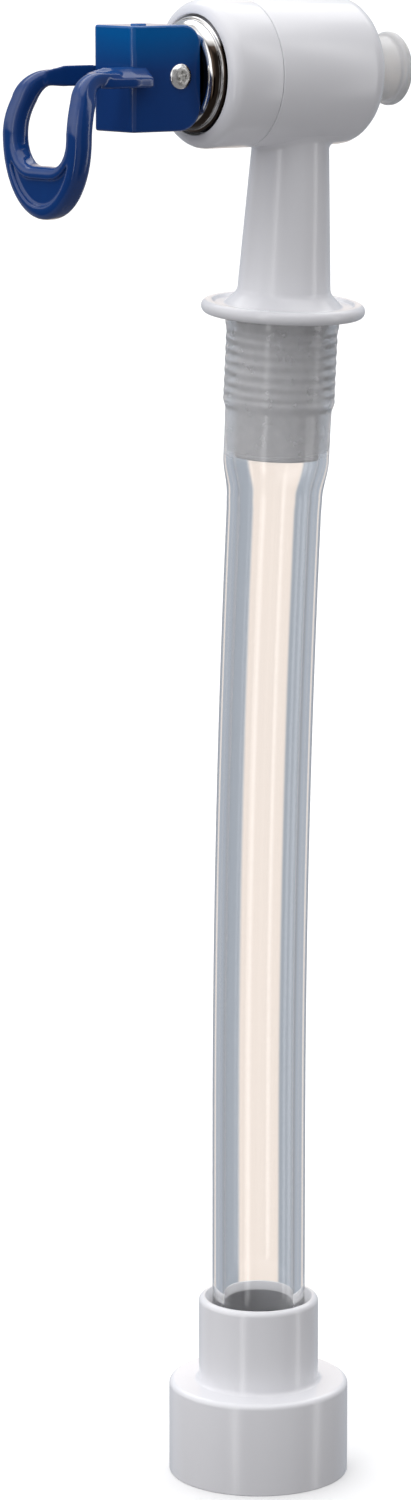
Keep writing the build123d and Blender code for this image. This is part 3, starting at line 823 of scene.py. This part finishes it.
# ---- lever pin, a riveted rod with domed heads
pinSizes = {
    "rod": 1.2, "head": 2.12, "face": 5.72, "faceEdge": 0.08, "rise": 0.3, "edge": 0.3, "reach": 6.55,
    "shoulder": 1.45, "shoulderDrop": 0.06, "crown": 0.8, "pit": 0.9, "pitDepth": 0.14, "pitEdge": 0.2,
}


def makePin(p):
    half = [
        (p["rod"], p["face"], 0),
        (p["head"], p["face"], p["faceEdge"]),
        (p["head"], p["face"] + p["rise"], p["edge"]),
        (p["shoulder"], p["reach"] - p["shoulderDrop"], p["crown"]),
        (p["pit"], p["reach"], p["pitEdge"]),
        (0, p["reach"] - p["pitDepth"], 0),
    ]
    other = [(radius, -height, rounding) for radius, height, rounding in reversed(half)]
    pin = turned("pinRivet", other + half, pinFrame, 64, closed=False)
    standsFor(pin, "lever_pin", "lever")


makePin(pinSizes)
print("pin made")

# ---- nozzle
nozzleSizes = {
    "bore": 4.0, "outer": 5.3, "root": 9.3, "lipStart": 18.5, "lip": 6.2, "lipRise": 0.35, "end": 20.4,
    "neckRounding": 0.5, "lipRounding": 0.75, "rounding": 0.85, "mouthRounding": 0.4,
}


def makeNozzle(n):
    outline = [
        (n["bore"], n["root"], 0),
        (n["outer"], n["root"], 0),
        (n["outer"], n["lipStart"], n["neckRounding"]),
        (n["lip"], n["lipStart"] + n["lipRise"], n["lipRounding"]),
        (n["lip"], n["end"], n["rounding"]),
        (n["bore"], n["end"], n["mouthRounding"]),
    ]
    standsFor(turned("nozzleTube", outline, barrelFrame, 128), "nozzle", "tap")


makeNozzle(nozzleSizes)
print("nozzle made")

# ---- hose: a clear sleeve stretched over the shank's ridges
hoseSizes = {
    "foot": 17.55, "topGap": 0.05, "grip": 34.0, "wallShare": 28.0, "fine": 0.3, "coarse": 6.0,
    "edge": 0.35, "edgeDrop": 0.6,
    "stretch": ((0.0, 8.0), (1.6, 8.0), (2.3, 7.8), (14.3, 7.8), (16.2, 7.25), (19.2, 7.2), (24.4, 7.2),
                (31.0, 6.1), (34.0, 6.0)),  # depth below the flange, bore
    "ripple": 0.24, "ripplePhase": 2.31, "rippleStart": 2.3, "rippleEnd": 13.6, "rippleFade": 0.8,
    "outerShare": 0.45,
}


def hoseBore(h, depth):
    # the bore below the flange, from the ridges' grip down to its free width
    radius = h["stretch"][-1][1]
    for (startDepth, start), (endDepth, end) in zip(h["stretch"], h["stretch"][1:]):
        if startDepth <= depth <= endDepth:
            radius = start + (end - start) * eased((depth - startDepth) / (endDepth - startDepth))
    return radius


def makeHose(h, t):
    lean = atan2(up.x, up.z)
    underside = (crossing + up * t["underside"] * mm) / mm
    bendRadius = (underside.x - h["grip"] * sin(lean)) / (1 - cos(lean))
    straight = underside.z - h["grip"] * cos(lean) - bendRadius * sin(lean) - h["foot"]
    length = straight + bendRadius * lean + h["grip"]
    depths = [h["topGap"] + number * h["fine"] for number in range(round(h["grip"] / h["fine"]))]
    rest = length - depths[-1]
    steps = round(rest / h["coarse"])
    depths += [depths[-1] + rest * (number + 1) / steps for number in range(steps)]
    inner, outer = [], []
    for depth in depths:
        bore = hoseBore(h, depth)
        fadeIn = eased((depth - h["rippleStart"]) / h["rippleFade"])
        fadeOut = eased((h["rippleEnd"] + h["rippleFade"] - depth) / h["rippleFade"])
        swing = (1 - cos(2 * pi * (depth - h["ripplePhase"]) / t["pitch"])) / 2
        wave = fadeIn * fadeOut * h["ripple"] * swing
        inner.append((bore - wave, length - depth, 0))
        outer.append((sqrt(bore ** 2 + h["wallShare"]) - wave * h["outerShare"], length - depth, 0))
    radius, height, rounding = outer[0]
    outer[0] = (radius - h["edge"], height, 0)
    outer.insert(1, (radius, height - h["edge"] * h["edgeDrop"], 0))
    sleeve = turned("hoseSleeve", outer + list(reversed(inner)), None, 112)
    for vert in sleeve.data.vertices:
        x, y, height = vert.co / mm
        turn = max(0, min(lean, (height - straight) / bendRadius))
        over = max(0, height - straight - bendRadius * lean)
        spineX = bendRadius * (1 - cos(turn)) + over * sin(lean)
        spineZ = h["foot"] + min(height, straight) + bendRadius * sin(turn) + over * cos(lean)
        vert.co = Vector((spineX + x * cos(turn), y, spineZ - x * sin(turn))) * mm
    settle(sleeve, Matrix.Identity(4), 50)
    standsFor(sleeve, "hose", "tap")


makeHose(hoseSizes, tapSizes)
print("hose made")

# ---- studio: world, floor and camera
# turns are degrees round from the backdrop's middle, heights run from -1 below to 1 above
viewSizes = {"turn": 34.60, "pitch": 13.39, "lens": 166.52, "place": (-0.6597, -0.9401, 0.4019)}
skySizes = {
    "backdropTurn": radians(35.06),
    "levels": ((0.0, (0.26, 0.26, 0.27)), (0.33, (0.27, 0.27, 0.28)), (0.86, (0.27, 0.27, 0.28)),
               (0.92, (1.75, 1.75, 1.77)), (1.0, (1.85, 1.85, 1.85))),
    "leftGlow": {"turn": -115, "halfWidth": 50, "soft": 50, "height": 0.3, "tallness": 0.4, "fade": 0.5},
    "backLight": {"turn": 0, "halfWidth": 55, "soft": 15, "height": 0.66, "tallness": 0.15, "fade": 0.1},
    "backdrop": {"turn": 0, "halfWidth": 55, "soft": 20, "height": 0, "tallness": 0.5, "fade": 0.12},
    "backdropMiddle": (7, 1.5),  # half width, soft edge
    "darkPanels": (
        {"turn": -120, "halfWidth": 57, "soft": 8, "height": -0.25, "tallness": 0.3, "fade": 0.1},
        {"turn": 120, "halfWidth": 13, "soft": 8, "height": 0, "tallness": 0.65, "fade": 0.1},
    ),
    "strips": (  # each with its brightness
        ({"turn": -150, "halfWidth": 5, "soft": 4, "height": 0.1, "tallness": 0.55, "fade": 0.2}, 2.8),
        ({"turn": 99, "halfWidth": 5, "soft": 4, "height": 0.1, "tallness": 0.55, "fade": 0.2}, 2.6),
    ),
}


def makeWorld(k):
    world = bpy.data.worlds.new("studio")
    bpy.context.scene.world = world
    recipe = Recipe(world)
    toward = recipe.add("TexCoord", output="Generated")
    ahead = recipe.dot(toward, (sin(k["backdropTurn"]), cos(k["backdropTurn"]), 0))
    aside = recipe.dot(toward, (cos(k["backdropTurn"]), -sin(k["backdropTurn"]), 0))
    height = recipe.dot(toward, (0, 0, 1))
    turn = recipe.add("Math", {"operation": "ARCTAN2"}, {0: aside, 1: ahead}) * (180 / pi)

    def panel(p):
        wide = band(abs(turn - p["turn"]), p["halfWidth"], p["soft"])
        return wide * band(abs(height - p["height"]), p["tallness"], p["fade"])

    stops = [(position, rgba(*tone)) for position, tone in k["levels"]]
    sky = recipe.add("ValToRGB", {"stops": stops}, {0: height * 0.5 + 0.5}, "Color")
    sky = recipe.mix(panel(k["leftGlow"]), sky, rgba(1.55, 1.55, 1.57))
    sky = recipe.mix(panel(k["backLight"]), sky, rgba(2.3, 2.3, 2.3))
    middleBand = band(abs(turn), *k["backdropMiddle"])
    behind = recipe.mix(middleBand, rgba(0.42, 0.46, 0.52), rgba(0.99, 0.88, 0.80))
    sky = recipe.mix(panel(k["backdrop"]), sky, behind)
    for dark in k["darkPanels"]:
        sky = recipe.mix(panel(dark), sky, rgba(0.035, 0.026, 0.022))
    for strip, brightness in k["strips"]:
        sky = recipe.mix(panel(strip), sky, rgba(brightness, brightness, brightness))
    glow = recipe.add("Background", {}, {"Color": sky, "Strength": 1.0})
    recipe.add("OutputWorld", {}, {"Surface": glow})


def paleGrey(recipe):
    return {"Base Color": recipe.mix(recipe.noise(3), rgba(0.93, 0.93, 0.93), rgba(0.95, 0.95, 0.95))}


def makeFloor():
    # seen only by the camera, so that it throws no light on the object
    deselectAll()
    bpy.ops.mesh.primitive_plane_add(size=6)
    floor = bpy.context.object
    floor.name = "floor"
    dress(floor, finish("paleFloor", {"Roughness": 0.9}, paleGrey))
    for rays in ("diffuse", "glossy", "transmission", "shadow"):
        setattr(floor, "visible_" + rays, False)


def makeCamera(v):
    lens = bpy.data.cameras.new("camera")
    camera = bpy.data.objects.new("camera", lens)
    bpy.context.scene.collection.objects.link(camera)
    camera.location = v["place"]
    camera.rotation_euler = (radians(90 - v["pitch"]), 0, -radians(v["turn"]))
    lens.lens = v["lens"]
    lens.sensor_width = 36
    bpy.context.scene.camera = camera


makeWorld(skySizes)
makeFloor()
makeCamera(viewSizes)
bpy.context.scene.view_settings.view_transform = "Standard"
print("studio made")
